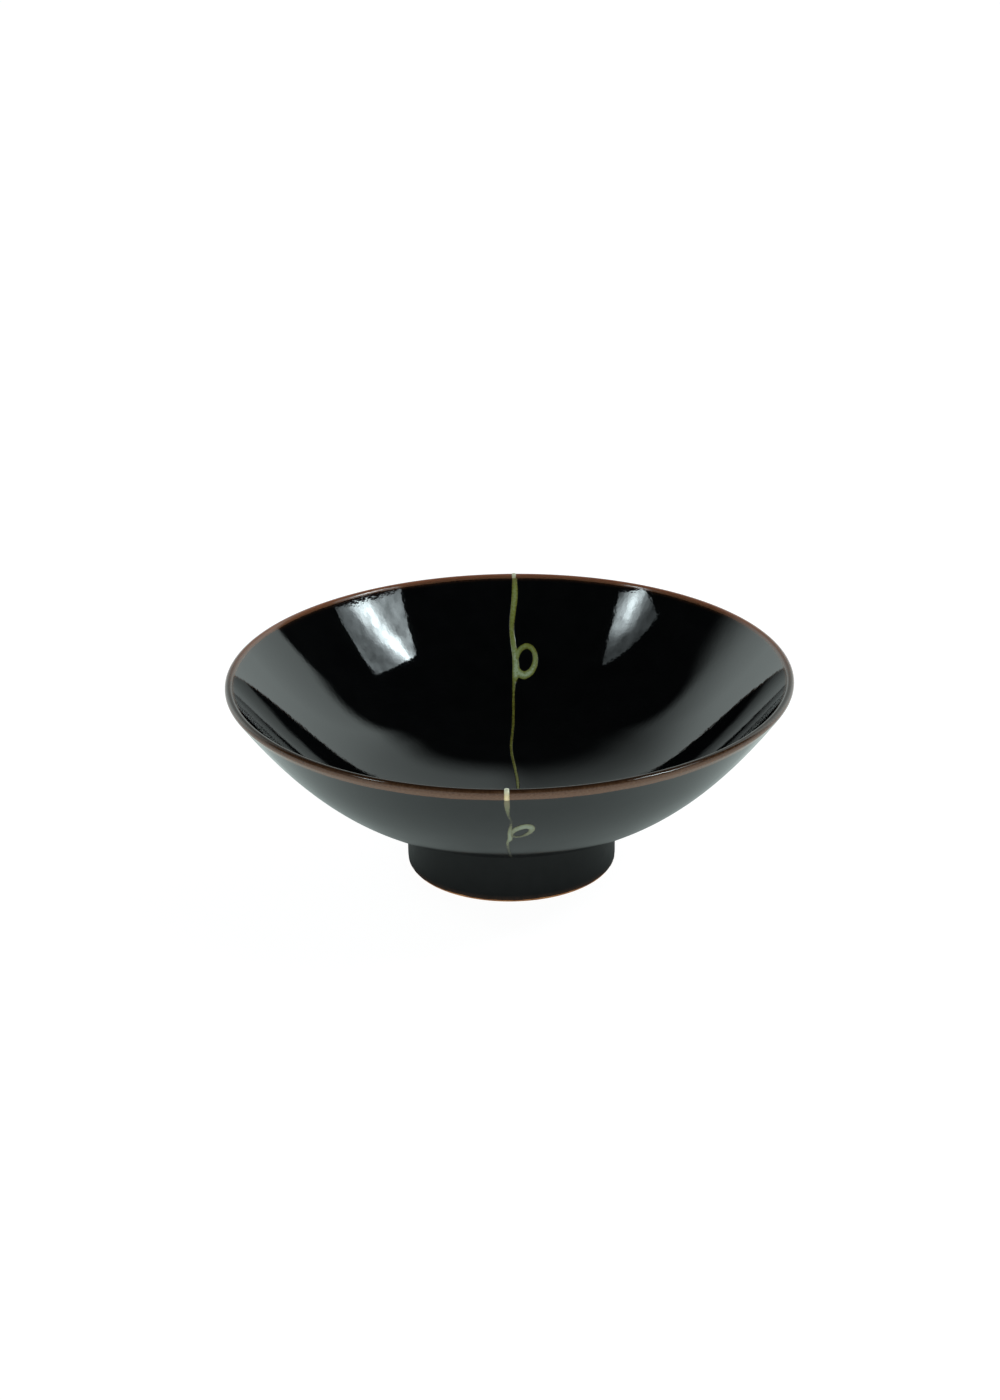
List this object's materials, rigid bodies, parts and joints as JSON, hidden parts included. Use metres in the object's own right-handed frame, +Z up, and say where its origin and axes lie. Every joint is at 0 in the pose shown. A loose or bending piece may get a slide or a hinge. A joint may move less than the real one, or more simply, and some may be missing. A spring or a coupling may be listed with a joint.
{
  "type": "footed bowl",
  "caption": "Wide flaring ceramic bowl on a tall foot ring, black glazed, with a brown lip and a thin trailed line across it.",
  "frame": {"origin": "centre of the foot's resting plane, on the table", "axes": "+Z up along the axis that the bowl was turned about; the trailed line runs along Y, from the front at -Y to the back at +Y; +X to the right seen from the front"},
  "size_m": [0.24, 0.2407, 0.0873],
  "materials": {
    "clay": "bare fired stoneware, fine sandy grain",
    "black_glaze": "high gloss iron-black glaze",
    "foot_glaze": "thinner black glaze, satin",
    "iron_brown": "brown iron wash under the glaze, satin gloss",
    "trail_glaze": "celadon green trailed glaze with olive edges, glossy",
    "cream_glaze": "the same trailed glaze run thin and cream over the lip, glossy"
  },
  "bodies": {
    "root": {"bowl_body": "clay", "foot_ring": "clay", "inside_glaze": "black_glaze", "outside_glaze": "black_glaze", "foot_glaze": "foot_glaze", "recess_glaze": "foot_glaze", "rim_band": "iron_brown", "inside_line": "trail_glaze", "front_line": "trail_glaze", "back_line": "trail_glaze", "front_lip_crossing": "cream_glaze", "back_lip_crossing": "cream_glaze"}
  },
  "joints": []
}
